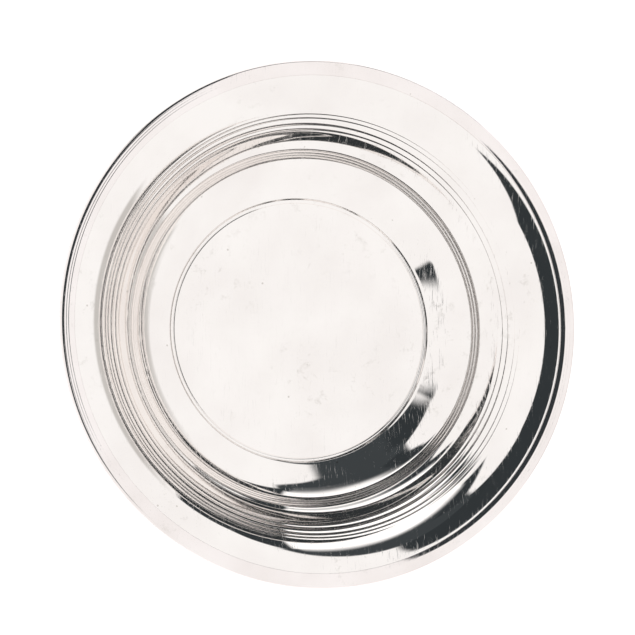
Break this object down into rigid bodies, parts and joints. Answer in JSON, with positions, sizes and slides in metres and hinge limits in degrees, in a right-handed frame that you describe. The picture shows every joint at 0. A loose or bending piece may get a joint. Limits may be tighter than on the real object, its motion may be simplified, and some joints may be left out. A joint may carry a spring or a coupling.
{
  "type": "paten plate",
  "caption": "Round silver paten with a flat middle, a deep swept well, bands of fine reeded mouldings, a wide swelling flange, a reeded border and a low foot ring.",
  "frame": {"origin": "centre of the circle on which the foot rests, on the resting plane", "axes": "+Z is the axis of the dish, up out of its hollow; the dish is turned, so X and Y are any two directions across it"},
  "size_m": [0.254, 0.254, 0.048],
  "materials": {
    "polished_silver": "hand-polished sterling silver with fine wiping scratches",
    "drawn_silver_wire": "polished reeded sterling wire, soft in the grooves",
    "foot_silver": "plain sterling silver, worn satin where it stands"
  },
  "bodies": {
    "root": {"dish_body": "polished_silver", "rim_border": "drawn_silver_wire", "foot_ring": "foot_silver"}
  },
  "joints": []
}
